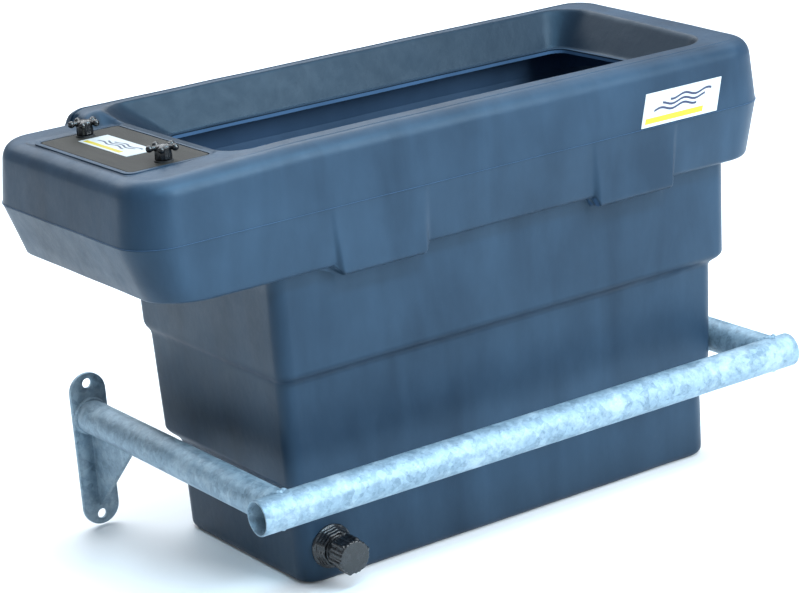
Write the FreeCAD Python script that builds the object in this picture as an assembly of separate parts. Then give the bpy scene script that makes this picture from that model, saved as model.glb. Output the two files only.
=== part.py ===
import FreeCAD, Part
import math
import os

# A livestock drinking trough: a deep one-piece polyethylene tank with a wide collar, a lidded
# float compartment at its left end, a drain low on its front and a galvanised tube guard that
# bolts to the wall behind it. Millimetres; +X along the trough, +Y towards the wall, +Z up.
# The origin is on the floor, under the middle of the trough and guard.

Vec = FreeCAD.Vector
ALONG_X = Vec(1, 0, 0)
ALONG_Y = Vec(0, 1, 0)
ALONG_Z = Vec(0, 0, 1)

# Tank skin, and its outline at each level: height, left, right, front, back, corner radius
skin = 8.0
plinth_foot = (0, -362, 519, -177, 227, 34)
plinth_head = (182, -365, 522, -180, 230, 34)
waist_foot = (182, -379, 533, -190, 253, 26)
waist_head = (379, -383, 538, -196, 259, 26)
chest_foot = (379, -391, 558, -212, 268, 26)
chest_head = (570, -394, 562, -216, 271, 26)
collar_foot = (557, -606, 616, -241, 266, 60)
collar_seam = (656, -642, 642, -252, 275, 72)
collar_head = (795, -626, 631, -243, 267, 66)
foot_round = 16.0
collar_round = 10.0
shoulder_round = 7.0

# The rim leans down towards the front: the front's and the back's (y, z). The low deck at the left
# end is level, and the dish slopes from the rim down to the drinking opening
rim_front = (-243.0, 768.0)
rim_back = (267.0, 785.0)
rim_round = 27.0
deck_z = 760.0
deck_end_x = -482.0
dish_foot = (715, -342, 522, -172, 203, 60)
dish_head = (800, -489, 576, -203, 231, 76)
deck_bay_foot = (760, -720, -433, -158, 184, 30)
deck_bay_head = (800, -720, -425, -194, 222, 40)
ledge_width = 9.0

# Two stiffening pads on the front of the collar: left edge, right edge, lowest level
pads = ((-290, -102, 540), (236, 420, 540))
pad_front_y = -250.0
pad_draft = 10.0

# Lid of the float compartment, and the knobs that hold it
lid_size = (146.0, 310.0, 8.0)
lid_centre = (-513.0, 13.0)
lid_top_z = 760.0
lid_gap = 1.5
lid_corner = 9.0
lid_edge_round = 1.5
hatch_size = (118.0, 208.0)
knob_x = -512.0
knob_ys = (145.0, -119.0)
stud_r = 4.0
stud_clear = 0.6
stem_r = 14.0
stem_height = 21.0
lobe_count = 5
lobe_reach = 21.5
lobe_r = 5.0
lobe_arm_r = 3.8
lobe_turn = 0.35
stem_taper = 1.5
hub_rise = 4.0
stud_reach = 15.0
stud_washer_r = 15.5
stud_washer_height = 2.1
insert_r = 7.5
insert_depth = 12.0

# Blank label plates
label_thickness = 0.8
lid_label = (-540.0, -485.0, -45.0, 118.0)
front_label_z = (660.0, 717.0)
front_label_x = (342.0, 512.0)
front_label_slant = 18.0

# Tube guard: 2 inch galvanised tube, flat bar plates
tube_r = 30.15
tube_wall = 3.2
guard_y = -312.0
guard_z = 210.0
guard_ends = (-520.0, 603.0)
arm_xs = (-472.0, 568.0)
wall_y = 342.15
plate_thickness = 8.0
plate_width = 70.0
plate_levels = (4.0, 290.0)
plate_hole_inset = 19.0
plate_hole_r = 9.0
gusset_reach = 148.0
gusset_tip_z = 38.0
weld_size = 5.0

# Drain fitting on the front of the plinth
drain_x = -308.0
drain_z = 62.0
drain_face_y = -177.0
drain_pocket_r = 46.0
drain_bore_r = 20.0
drain_hole_r = 24.3
drain_tube_r = 24.0
drain_flange_r = 38.5
drain_collar_r = 33.0
drain_flange_y = (-183.0, -177.0)
drain_nut_height = 12.0
gasket_height = 3.0
drain_seat_r = 39.0
drain_seat_depth = 24.0
drain_collar_y = (-202.0, -183.0)
drain_tube_y = (-239.7, -144.0)
cap_y = (-251.0, -216.0)
cap_r = 29.0
cap_top = 8.0
seal_height = 3.0
seal_bore_r = 20.5
cap_clear = 0.5
cap_lugs = 6
cap_lug_r = 4.5
cap_lug_set_back = 3.0
cap_lug_turn = 0.2

# Float valve, on a threaded tail that passes up through the underside of the collar
valve_x = -540.0
valve_y = 190.0
shank_r = 11.5
tail_r = 10.48
tail_thread = 13.5
tail_bore_r = 7.0
tail_z = (533.0, 618.0)
nut_across = 34.0
nut_height = 8.0
tail_hole_r = 11.8
washer_r = 21.0
washer_height = 2.5
hub_r = 17.0
hub_z = (618.0, 682.0)
nose_z = 662.0
nose_r = 15.0
nose_front_y = 133.0
piston_r = 8.0
piston_bore_r = 8.06
piston_y = (121.6, 144.0)
piston_stroke = 7.7
outlet_r = 4.0
pivot_y = 121.0
pivot_z = 640.0
pin_r = 3.0
pin_play = 0.05
pin_head = (4.8, 2.5)
ear_x = (9.0, 14.0)
ear_reach = (7.0, 12.0)
ear_drop = 8.0
cap_nut = (26.0, 6.0)
stroke_spare = 0.3
boss_r = 7.0
boss_play = 0.5
short_arm = 22.0
short_arm_r = 2.4
short_arm_tilt = 10.0
tip_r = 4.0
tip_half = 6.0
socket = (6.5, 34.0)
rod_start = 12.0
float_y = -52.0
float_z = 628.0
float_r = 46.0
float_skin = 2.5
rod_r = 3.5
rod_bite = 14.0
float_boss_r = 9.0
float_boss = (-8.0, 16.0)
float_nut_size = (13.0, 5.0)


def outline(level, grow=0.0, lift=0.0):
    """A level's rounded rectangle, made larger by grow on every side."""
    z, left, right, front, back, radius = level
    left, right, front, back = left - grow, right + grow, front - grow, back + grow
    radius = max(radius + grow, 3.0)
    z = z + lift
    centres = (
        (right - radius, back - radius, 0),
        (left + radius, back - radius, 90),
        (left + radius, front + radius, 180),
        (right - radius, front + radius, 270),
    )
    corners = []
    for x, y, start in centres:
        points = []
        for turn in (start, start + 45, start + 90):
            angle = math.radians(turn)
            points.append(Vec(x + radius * math.cos(angle), y + radius * math.sin(angle), z))
        corners.append(points)
    edges = []
    for this, following in zip(corners, corners[1:] + corners[:1]):
        edges.append(Part.Arc(*this).toShape())
        edges.append(Part.LineSegment(this[2], following[0]).toShape())
    return Part.Wire(edges)


def tapered(foot, head, grow=0.0, lift_foot=0.0, lift_head=0.0):
    wires = [outline(foot, grow, lift_foot), outline(head, grow, lift_head)]
    return Part.makeLoft(wires, True, True)


def block(x, y, z):
    """A box from three (low, high) pairs."""
    return Part.makeBox(x[1] - x[0], y[1] - y[0], z[1] - z[0], Vec(x[0], y[0], z[0]))


def rod(radius, start, end):
    """A solid cylinder between two points."""
    axis = Vec(*end) - Vec(*start)
    return Part.makeCylinder(radius, axis.Length, Vec(*start), axis)


def pipe(outer, inner, start, end):
    return rod(outer, start, end).cut(rod(inner, start, end))


def hexagon(across, start, end):
    """A hexagonal prism between two points, flats across apart."""
    axis = Vec(*end) - Vec(*start)
    upright = ALONG_Z if abs(axis.z) < abs(axis.y) + abs(axis.x) else ALONG_X
    other = axis.cross(upright).normalize()
    side = other.cross(axis).normalize()
    radius = across / math.sqrt(3)
    corners = []
    for corner in range(7):
        angle = math.radians(60 * corner)
        corners.append(Vec(*start) + side * (radius * math.cos(angle)) + other * (radius * math.sin(angle)))
    return Part.Face(Part.makePolygon(corners)).extrude(axis)


def round_edges(shape, radius, chosen):
    """Fillet the edges for which chosen(edge) is true."""
    picked = [edge for edge in shape.Edges if chosen(edge)]
    return shape.makeFillet(radius, picked)


def at_level(z):
    """Picks the edges that lie wholly at one height."""
    return lambda edge: abs(edge.BoundBox.ZMin - z) < 0.01 and abs(edge.BoundBox.ZMax - z) < 0.01


def tank_stack(grow, lift):
    """The tank's plinth, waist and chest; grow and lift turn it into the cavity."""
    stack = tapered(plinth_foot, plinth_head, grow, lift, lift)
    stack = round_edges(stack, foot_round + grow, at_level(plinth_foot[0] + lift))
    waist = tapered(waist_foot, waist_head, grow, lift, lift)
    waist = round_edges(waist, shoulder_round, at_level(waist_foot[0] + lift))
    chest = tapered(chest_foot, chest_head, grow, lift, lift)
    chest = round_edges(chest, shoulder_round, at_level(chest_foot[0] + lift))
    return stack.fuse([waist, chest])


def rim_z(y):
    part_back = (y - rim_front[0]) / (rim_back[0] - rim_front[0])
    return rim_front[1] + part_back * (rim_back[1] - rim_front[1])


def above_rim(lift):
    """Everything above the rim's leaning plane."""
    front, back = -400, 400
    corners = (
        Vec(-720, front, rim_z(front) - lift),
        Vec(-720, back, rim_z(back) - lift),
        Vec(-720, back, 900),
        Vec(-720, front, 900),
    )
    return Part.Face(Part.makePolygon(corners + corners[:1])).extrude(ALONG_X * 1440)


def collar_block(grow, lift):
    """The collar from its underside to the leaning rim, with the level deck at its left end."""
    lower = tapered(collar_foot, collar_seam, grow, lift, 0.0)
    lower = round_edges(lower, collar_round + grow, at_level(collar_foot[0] + lift))
    upper = tapered(collar_seam, collar_head, grow, 0.0, 0.0)
    deck_level = deck_z - lift
    step_x = deck_end_x + lift

    def on_rim(edge):
        points = [vertex.Point for vertex in edge.Vertexes]
        return all(abs(point.z - rim_z(point.y) + lift) < 0.01 for point in points)

    deck = upper.cut(block((-720, 720), (-400, 400), (deck_level, 900)))
    deck = round_edges(deck, rim_round + grow, at_level(deck_level))
    deck = deck.cut(block((step_x, 720), (-400, 400), (500, 900)))
    rim = round_edges(upper.cut(above_rim(lift)), rim_round + grow, on_rim)
    rim = rim.cut(block((-720, step_x), (-400, 400), (500, 900)))
    return lower.fuse([deck, rim])


def pad(left, right, bottom):
    """One stiffening pad, tapering a little towards its lower edge."""
    top = collar_seam[0]
    corners = (
        Vec(left, pad_front_y, top),
        Vec(right, pad_front_y, top),
        Vec(right - pad_draft, pad_front_y, bottom),
        Vec(left + pad_draft, pad_front_y, bottom),
    )
    face = Part.Face(Part.makePolygon(corners + corners[:1]))
    return face.extrude(Vec(0, waist_foot[3] - pad_front_y, 0))


def lid_block(size, z, gap=0.0):
    """An upright block with rounded corners, centred where the lid lies."""
    half_x = size[0] / 2 + gap
    half_y = size[1] / 2 + gap
    x, y = lid_centre
    level = (0, x - half_x, x + half_x, y - half_y, y + half_y, lid_corner + gap)
    return tapered(level, level, 0.0, z[0], z[1])


def top_cuts(grow):
    """What the dish, the bay round the lid and the lid's recess take from the top of the tank."""
    dish = tapered(dish_foot, dish_head, grow, -grow, 0.0)
    bay = tapered(deck_bay_foot, deck_bay_head, grow, -grow, 0.0)
    recess = lid_block(lid_size, (lid_top_z - lid_size[2] - grow, deck_z + 60), lid_gap + grow)
    return dish.fuse([bay, recess])


def drain_pocket(grow):
    """A flat seat for the drain fitting, sunk a little into the drafted front of the plinth."""
    start = (drain_x, drain_face_y - 60, drain_z)
    return rod(drain_pocket_r + grow, start, (drain_x, drain_face_y + grow, drain_z))


def drain_seat():
    """The flat seat for the gasket and nut, moulded into the inside of the plinth's corner."""
    inside = drain_face_y + skin
    return rod(drain_seat_r, on_drain(inside), on_drain(inside + drain_seat_depth))


def tank():
    outer = tank_stack(0.0, 0.0).fuse([collar_block(0.0, 0.0)] + [pad(*each) for each in pads])
    outer = outer.cut([top_cuts(0.0), drain_pocket(0.0)])
    cavity = tank_stack(-skin, skin).fuse(collar_block(-skin, skin))
    cavity = cavity.cut([top_cuts(skin), drain_pocket(skin)]).fuse(drain_seat())
    shell = outer.cut(cavity)
    opening = tapered(dish_foot, dish_foot, -ledge_width, -3 * skin, 3 * skin)
    hatch = lid_block((hatch_size[0], hatch_size[1], 0), (lid_top_z - 40, lid_top_z))
    drain_bore = rod(drain_hole_r, (drain_x, -220, drain_z), (drain_x, -140, drain_z))
    tail_hole = rod(tail_hole_r, (valve_x, valve_y, 540), (valve_x, valve_y, 600))
    inserts = [knob_hole(y, insert_r) for y in knob_ys]
    return shell.cut([opening, hatch, drain_bore, tail_hole] + inserts).removeSplitter()


def knob_hole(y, radius):
    """The upright hole under a knob, through the recess that the lid rests in."""
    top = lid_top_z - lid_size[2]
    return rod(radius, (knob_x, y, top - 2 * skin), (knob_x, y, top + 1))


def lid():
    plate = lid_block(lid_size, (lid_top_z - lid_size[2], lid_top_z))
    plate = round_edges(plate, lid_edge_round, at_level(lid_top_z))
    holes = [rod(stud_r + stud_clear, (knob_x, y, 700), (knob_x, y, 800)) for y in knob_ys]
    return plate.cut(holes)


def knob_insert(y):
    """A knurled brass insert moulded into the recess under a knob."""
    top = lid_top_z - lid_size[2]
    body = rod(insert_r, (knob_x, y, top - insert_depth), (knob_x, y, top))
    return body.cut(rod(stud_r + stud_clear, (knob_x, y, 700), (knob_x, y, 800)))


def knob(y):
    """A lobed grip: a round stem, a domed hub and balls on short arms."""
    base = lid_top_z + washer_height
    crown = base + stem_height
    grip = Part.makeCone(stem_r, stem_r - stem_taper, stem_height, Vec(knob_x, y, base))
    hub = rod(stem_r - 2 * stem_taper, (knob_x, y, crown), (knob_x, y, crown + hub_rise))
    grip = grip.fuse(hub)
    for lobe in range(lobe_count):
        angle = 2 * math.pi * lobe / lobe_count + lobe_turn
        reach = Vec(math.cos(angle), math.sin(angle), 0) * lobe_reach
        centre = Vec(knob_x, y, crown - 1) + reach
        arm = Part.makeCylinder(lobe_arm_r, lobe_reach, Vec(knob_x, y, crown - 1), reach)
        grip = grip.fuse([arm, Part.makeSphere(lobe_r, centre)])
    return grip.cut(rod(stud_r, (knob_x, y, base), (knob_x, y, base + stud_reach))).removeSplitter()


def knob_stud(y):
    """The steel stud in a knob, reaching through the lid into its insert."""
    low = lid_top_z - lid_size[2] - insert_depth
    high = lid_top_z + washer_height + stud_reach
    return rod(stud_r, (knob_x, y, low), (knob_x, y, high))


def knob_washer(y):
    ends = ((knob_x, y, lid_top_z), (knob_x, y, lid_top_z + stud_washer_height))
    return pipe(stud_washer_r, stud_r + stud_clear, *ends)


def lid_label_plate():
    left, right, front, back = lid_label
    return block((left, right), (front, back), (lid_top_z, lid_top_z + label_thickness))


def front_label_plate():
    """A slanted plate that lies on the collar's front, just above its seam."""
    low, high = front_label_z
    left, right = front_label_x

    def front_at(z):
        part_up = (z - collar_seam[0]) / (collar_head[0] - collar_seam[0])
        return collar_seam[3] + part_up * (collar_head[3] - collar_seam[3])

    corners = (
        Vec(left, front_at(low), low),
        Vec(right, front_at(low), low),
        Vec(right + front_label_slant, front_at(high), high),
        Vec(left + front_label_slant, front_at(high), high),
    )
    face = Part.Face(Part.makePolygon(corners + corners[:1]))
    return face.extrude(Vec(0, -label_thickness, 0))


def guard_tube():
    left, right = guard_ends
    return pipe(tube_r, tube_r - tube_wall, (left, guard_y, guard_z), (right, guard_y, guard_z))


def arm_end_y():
    return wall_y - plate_thickness


def guard_arm(x):
    """An arm, coped to the front tube and butted to its wall plate."""
    arm = pipe(tube_r, tube_r - tube_wall, (x, guard_y, guard_z), (x, arm_end_y(), guard_z))
    return arm.cut(rod(tube_r, (x - 60, guard_y, guard_z), (x + 60, guard_y, guard_z)))


def wall_plate(x):
    low, high = plate_levels
    half = plate_width / 2
    y = (arm_end_y(), wall_y)
    plate = block((x - half, x + half), y, (low + half, high - half))
    for z in (low + half, high - half):
        plate = plate.fuse(rod(half, (x, y[0], z), (x, y[1], z)))
    for z in (low + plate_hole_inset, high - plate_hole_inset):
        plate = plate.cut(rod(plate_hole_r, (x, y[0], z), (x, y[1], z)))
    return plate.removeSplitter()


def gusset(x):
    """A triangular web between an arm's underside and its wall plate."""
    back = arm_end_y()
    half = plate_thickness / 2
    corners = (
        Vec(x - half, back, guard_z),
        Vec(x - half, back - gusset_reach, guard_z - tube_r + 2),
        Vec(x - half, back - gusset_reach, guard_z - tube_r),
        Vec(x - half, back, gusset_tip_z),
    )
    web = Part.Face(Part.makePolygon(corners + corners[:1])).extrude(ALONG_X * plate_thickness)
    return web.cut(rod(tube_r, (x, guard_y, guard_z), (x, wall_y, guard_z)))


def guard_welds():
    """Weld beads where each arm meets its wall plate and the front tube."""
    beads = []
    for x in arm_xs:
        back = arm_end_y()
        start = Vec(x, back - weld_size, guard_z)
        ring = Part.makeCone(tube_r + 0.2, tube_r + weld_size, weld_size, start, ALONG_Y)
        ring = ring.cut(rod(tube_r, (x, guard_y, guard_z), (x, back, guard_z)))
        beads.append(ring.cut(gusset(x)))
        sleeve = rod(tube_r + 3, (x, guard_y, guard_z), (x, guard_y + 1.4 * tube_r, guard_z))
        saddle = sleeve.common(rod(tube_r + 3, (x - 60, guard_y, guard_z), (x + 60, guard_y, guard_z)))
        saddle = saddle.cut(rod(tube_r, (x - 60, guard_y, guard_z), (x + 60, guard_y, guard_z)))
        beads.append(saddle.cut(rod(tube_r, (x, guard_y, guard_z), (x, back, guard_z))))
    return Part.makeCompound([solid for bead in beads for solid in bead.Solids])


def on_drain(y):
    return (drain_x, y, drain_z)


def drain_body():
    """A flanged tube through the plinth, with a stepped collar outside."""
    tube = rod(drain_tube_r, on_drain(drain_tube_y[0]), on_drain(drain_tube_y[1]))
    flange = rod(drain_flange_r, on_drain(drain_flange_y[0]), on_drain(drain_flange_y[1]))
    collar = hexagon(2 * drain_collar_r, on_drain(drain_collar_y[0]), on_drain(drain_collar_y[1]))
    bore = rod(drain_bore_r, on_drain(drain_tube_y[0]), on_drain(drain_tube_y[1]))
    return tube.fuse([flange, collar]).cut(bore).removeSplitter()


def drain_gasket():
    inside = drain_face_y + skin
    ends = (on_drain(inside), on_drain(inside + gasket_height))
    return pipe(drain_collar_r, drain_tube_r, *ends)


def drain_nut():
    start = drain_face_y + skin + gasket_height
    ends = (on_drain(start), on_drain(start + drain_nut_height))
    return hexagon(2 * drain_collar_r, *ends).cut(rod(drain_tube_r, *ends))


def drain_cap():
    """A screw cap with gripping lugs round its skirt."""
    start, mouth = cap_y
    cap = rod(cap_r, on_drain(start), on_drain(mouth))
    for lug in range(cap_lugs):
        angle = 2 * math.pi * lug / cap_lugs + cap_lug_turn
        x = drain_x + (cap_r - 1) * math.cos(angle)
        z = drain_z + (cap_r - 1) * math.sin(angle)
        cap = cap.fuse(rod(cap_lug_r, (x, start + cap_lug_set_back, z), (x, mouth, z)))
    cap = cap.cut(rod(drain_tube_r + cap_clear, on_drain(start + cap_top), on_drain(mouth)))
    return cap.removeSplitter()


def cap_seal():
    """The flat ring inside the cap that closes on the tube's end."""
    start = cap_y[0] + cap_top
    return pipe(drain_tube_r, seal_bore_r, on_drain(start), on_drain(start + seal_height))


def at_valve(z):
    return (valve_x, valve_y, z)


def inlet_tail():
    """The hollow threaded tail: a half inch free end below a stouter shank."""
    step = tail_z[0] + tail_thread
    free_end = rod(tail_r, at_valve(tail_z[0]), at_valve(step))
    tail = free_end.fuse(rod(shank_r, at_valve(step), at_valve(tail_z[1])))
    return tail.cut(rod(tail_bore_r, at_valve(tail_z[0]), at_valve(tail_z[1])))


def inlet_rings(height):
    """A pair of flat rings, one each side of the skin under the collar."""
    underside = collar_foot[0]
    rings = []
    for start in (underside - height, underside + skin):
        rings.append(pipe(washer_r, shank_r, at_valve(start), at_valve(start + height)))
    return Part.makeCompound(rings)


def inlet_nuts():
    underside = collar_foot[0]
    nuts = []
    for start in (underside - washer_height - nut_height, underside + skin + washer_height):
        nut = hexagon(nut_across, at_valve(start), at_valve(start + nut_height))
        nuts.append(nut.cut(rod(shank_r, at_valve(start), at_valve(start + nut_height))))
    return Part.makeCompound(nuts)


def valve_body():
    """The brass body: an upright hub, a nose for the piston and two ears for the lever's pin."""
    hub = rod(hub_r, at_valve(hub_z[0]), at_valve(hub_z[1]))
    across, height = cap_nut
    crown = hexagon(across, at_valve(hub_z[1]), at_valve(hub_z[1] + height))
    nose = rod(nose_r, (valve_x, nose_front_y, nose_z), (valve_x, valve_y, nose_z))
    body = hub.fuse([crown, nose])
    ear_y = (pivot_y - ear_reach[0], nose_front_y + ear_reach[1])
    for low, high in (ear_x, (-ear_x[1], -ear_x[0])):
        body = body.fuse(block((valve_x + low, valve_x + high), ear_y, (pivot_z - ear_drop, nose_z - 2)))
    end = piston_y[1] + piston_stroke + stroke_spare
    waterway = rod(tail_bore_r, at_valve(hub_z[0]), at_valve(nose_z))
    cylinder = rod(piston_bore_r, (valve_x, nose_front_y, nose_z), (valve_x, end, nose_z))
    seat = rod(outlet_r, (valve_x, end, nose_z), (valve_x, valve_y, nose_z))
    mouth = end - outlet_r
    outlet = rod(outlet_r, (valve_x, mouth, nose_z), (valve_x, mouth, nose_z - 30))
    hole = rod(pin_r, (valve_x - 20, pivot_y, pivot_z), (valve_x + 20, pivot_y, pivot_z))
    return body.cut([waterway, cylinder, seat, outlet, hole]).removeSplitter()


def valve_piston():
    front, back = piston_y
    piston = rod(piston_r, (valve_x, front, nose_z), (valve_x, back - 2, nose_z))
    return piston.fuse(rod(piston_r - 1, (valve_x, back - 2, nose_z), (valve_x, back, nose_z)))


def pivot_pin():
    """The lever's pin, with a head at one end."""
    left = valve_x - ear_x[1] - 2
    right = valve_x + ear_x[1]
    head_r, head_height = pin_head
    pin = rod(pin_r, (left, pivot_y, pivot_z), (right, pivot_y, pivot_z))
    return pin.fuse(rod(head_r, (right, pivot_y, pivot_z), (right + head_height, pivot_y, pivot_z)))


def float_line():
    """The direction of the float rod, from the pivot to the float's centre."""
    return Vec(0, float_y - pivot_y, float_z - pivot_z).normalize()


def along_rod(distance):
    return Vec(valve_x, pivot_y, pivot_z) + float_line() * distance


def valve_lever():
    """The lever: a boss on the pin, a short arm to the piston and a socket for the float rod."""
    pivot = Vec(valve_x, pivot_y, pivot_z)
    half = ear_x[0] - boss_play
    boss = rod(boss_r, pivot - ALONG_X * half, pivot + ALONG_X * half)
    tilt = math.radians(short_arm_tilt)
    tip = pivot + Vec(0, -math.sin(tilt), math.cos(tilt)) * short_arm
    arm = rod(short_arm_r, pivot, tip)
    roller = rod(tip_r, tip - ALONG_X * tip_half, tip + ALONG_X * tip_half)
    socket_r, socket_end = socket
    lever = boss.fuse([arm, roller, rod(socket_r, pivot, along_rod(socket_end))])
    lever = lever.cut(rod(pin_r + pin_play, pivot - ALONG_X * 20, pivot + ALONG_X * 20))
    return lever.cut(rod(rod_r, along_rod(rod_start), along_rod(socket_end + 2))).removeSplitter()


def rod_length():
    return Vec(0, float_y - pivot_y, float_z - pivot_z).Length


def float_rod():
    return rod(rod_r, along_rod(rod_start), along_rod(rod_length() - float_r + rod_bite))


def float_ball():
    """A hollow ball with a threaded boss, closed all round."""
    centre = along_rod(rod_length())
    near = rod_length() - float_r
    low, high = float_boss
    boss = rod(float_boss_r, along_rod(near + low), along_rod(near + high))
    ball = Part.makeSphere(float_r, centre).fuse(boss)
    hollow = Part.makeSphere(float_r - float_skin, centre).cut(boss)
    return ball.cut([hollow, rod(rod_r, along_rod(near + low - 1), along_rod(near + rod_bite))])


def float_nut():
    across, height = float_nut_size
    face = rod_length() - float_r + float_boss[0]
    nut = hexagon(across, along_rod(face - height), along_rod(face))
    return nut.cut(rod(rod_r, along_rod(face - height - 1), along_rod(face + 1)))


def write(name, shape):
    solids = shape.Solids
    shape = solids[0] if len(solids) == 1 else Part.makeCompound(solids)
    shape.exportStep(os.path.join("parts", name + ".step"))
    print(name, len(solids), "solid(s)", round(shape.Volume / 1000, 1), "cm3")


def main():
    os.makedirs("parts", exist_ok=True)
    write("tank", tank())
    write("lid_cover", lid())
    for side, y in zip(("back", "front"), knob_ys):
        write("knob_insert_" + side, knob_insert(y))
        write("knob_" + side, knob(y))
        write("knob_stud_" + side, knob_stud(y))
        write("knob_washer_" + side, knob_washer(y))
    write("lid_label", lid_label_plate())
    write("front_label", front_label_plate())
    write("guard_front_tube", guard_tube())
    for side, x in zip(("left", "right"), arm_xs):
        write("guard_arm_" + side, guard_arm(x))
        write("wall_plate_" + side, wall_plate(x))
        write("gusset_" + side, gusset(x))
    write("guard_welds", guard_welds())
    write("drain_body", drain_body())
    write("drain_gasket", drain_gasket())
    write("drain_nut", drain_nut())
    write("drain_cap", drain_cap())
    write("drain_cap_seal", cap_seal())
    write("inlet_tail", inlet_tail())
    write("inlet_washers", inlet_rings(washer_height))
    write("inlet_nuts", inlet_nuts())
    write("valve_body", valve_body())
    write("valve_piston", valve_piston())
    write("pivot_pin", pivot_pin())
    write("valve_lever", valve_lever())
    write("float_rod", float_rod())
    write("float_nut", float_nut())
    write("float_ball", float_ball())


main()
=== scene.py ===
import math

import bmesh
import bpy
import numpy as np
from mathutils import Matrix, Vector, noise


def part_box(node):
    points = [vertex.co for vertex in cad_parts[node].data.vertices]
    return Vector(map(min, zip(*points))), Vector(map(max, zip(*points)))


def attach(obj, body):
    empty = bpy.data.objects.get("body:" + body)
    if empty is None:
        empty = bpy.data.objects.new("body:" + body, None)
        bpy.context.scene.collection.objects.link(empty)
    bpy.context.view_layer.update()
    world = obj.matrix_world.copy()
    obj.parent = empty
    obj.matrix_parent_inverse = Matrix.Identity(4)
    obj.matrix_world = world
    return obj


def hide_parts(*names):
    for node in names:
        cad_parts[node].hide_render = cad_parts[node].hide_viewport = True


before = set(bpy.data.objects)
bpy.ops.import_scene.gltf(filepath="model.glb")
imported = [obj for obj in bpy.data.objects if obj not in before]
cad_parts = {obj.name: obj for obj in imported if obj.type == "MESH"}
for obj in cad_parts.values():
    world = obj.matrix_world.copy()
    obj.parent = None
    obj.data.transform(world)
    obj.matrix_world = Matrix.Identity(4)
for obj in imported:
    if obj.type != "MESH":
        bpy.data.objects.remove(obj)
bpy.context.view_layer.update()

mm = 0.001
scene = bpy.context.scene


class Wave:
    # one value, colour or vector on its way through a node tree
    def __init__(self, shade, socket):
        self.shade = shade
        self.socket = socket

    def math(self, operation, first, second):
        node = self.shade.node("ShaderNodeMath", {"operation": operation}, {0: first, 1: second})
        return Wave(self.shade, node.outputs[0])

    def __add__(self, other):
        return self.math("ADD", self, other)

    def __radd__(self, other):
        return self.math("ADD", other, self)

    def __sub__(self, other):
        return self.math("SUBTRACT", self, other)

    def __rsub__(self, other):
        return self.math("SUBTRACT", other, self)

    def __mul__(self, other):
        return self.math("MULTIPLY", self, other)

    def __rmul__(self, other):
        return self.math("MULTIPLY", other, self)

    def __gt__(self, other):
        return self.math("GREATER_THAN", self, other)

    def __lt__(self, other):
        return self.math("LESS_THAN", self, other)


class Shade:
    # one material: its node tree and its Principled shader
    def __init__(self, name, **constants):
        self.material = bpy.data.materials.new(name)
        self.material.use_nodes = True
        self.tree = self.material.node_tree
        self.shader = self.tree.nodes["Principled BSDF"]
        for socket, value in constants.items():
            self.feed(self.shader.inputs[socket.replace("_", " ")], value)

    def node(self, kind, settings=None, values=None):
        node = self.tree.nodes.new(kind)
        for name, value in (settings or {}).items():
            if name == "stops":
                self.fillRamp(node.color_ramp, value)
            else:
                setattr(node, name, value)
        for name, value in (values or {}).items():
            self.feed(node.inputs[name], value)
        return node

    def fillRamp(self, ramp, stops):
        while len(ramp.elements) < len(stops):
            ramp.elements.new(0.5)
        for element, (place, tone) in zip(ramp.elements, stops):
            element.position = place
            element.color = (*tone, 1)

    def feed(self, socket, value):
        if isinstance(value, Wave):
            self.tree.links.new(value.socket, socket)
        elif isinstance(value, tuple) and len(value) == 3 and len(socket.default_value) == 4:
            socket.default_value = (*value, 1)
        else:
            socket.default_value = value

    def wave(self, node, output=0):
        return Wave(self, node.outputs[output])

    def place(self):
        return self.wave(self.node("ShaderNodeTexCoord"), "Object")

    def normal(self):
        return self.wave(self.node("ShaderNodeNewGeometry"), "Normal")

    def part(self, vector, axis):
        return self.wave(self.node("ShaderNodeSeparateXYZ", None, {0: vector}), axis)

    def stretched(self, vector, factors):
        node = self.node("ShaderNodeVectorMath", {"operation": "MULTIPLY"}, {0: vector, 1: factors})
        return self.wave(node)

    def noise(self, vector, scale, detail=3.0, roughness=0.5, distortion=0.0):
        values = {"Vector": vector, "Scale": scale, "Detail": detail}
        values.update({"Roughness": roughness, "Distortion": distortion})
        return self.wave(self.node("ShaderNodeTexNoise", None, values), 0)

    def cells(self, vector, scale, output="Distance"):
        return self.wave(self.node("ShaderNodeTexVoronoi", None, {"Vector": vector, "Scale": scale}), output)

    def spread(self, value, low, high, newLow=0.0, newHigh=1.0):
        values = {0: value, 1: low, 2: high, 3: newLow, 4: newHigh}
        return self.wave(self.node("ShaderNodeMapRange", {"clamp": True}, values))

    def blend(self, factor, first, second, kind="MIX"):
        settings = {"data_type": "RGBA", "blend_type": kind}
        node = self.node("ShaderNodeMix", settings, {0: factor, 6: first, 7: second})
        return self.wave(node, 2)

    def bump(self, height, strength, distance, under=None):
        values = {"Height": height, "Strength": strength, "Distance": distance}
        if under is not None:
            values["Normal"] = under
        return self.wave(self.node("ShaderNodeBump", None, values), 0)

    def use(self, **links):
        for socket, value in links.items():
            self.feed(self.shader.inputs[socket.replace("_", " ")], value)
        return self.material


# rotomoulded polyethylene: near black, blue where it is worn, with a fine pebbled skin; painted shade darkens
# the dish above the ledge and painted light brightens the inside below it
tankFinish = {
    "deep": (0.010, 0.021, 0.038),
    "worn": (0.022, 0.043, 0.072),
    # dish: painted shade for the dish's inward faces above the ledge
    "dish": (0.003, 0.008, 0.016),
    "dust": (0.070, 0.090, 0.115),
    # inside: painted light, a lit blue for the inside walls and floor below the ledge
    "inside": (0.050, 0.100, 0.185),
    "middle": (0.08, 0.02),
    "ledgeHeight": 0.714,
    "roughness": 0.36,
    "pebblesPerMetre": 850.0,
}


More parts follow.
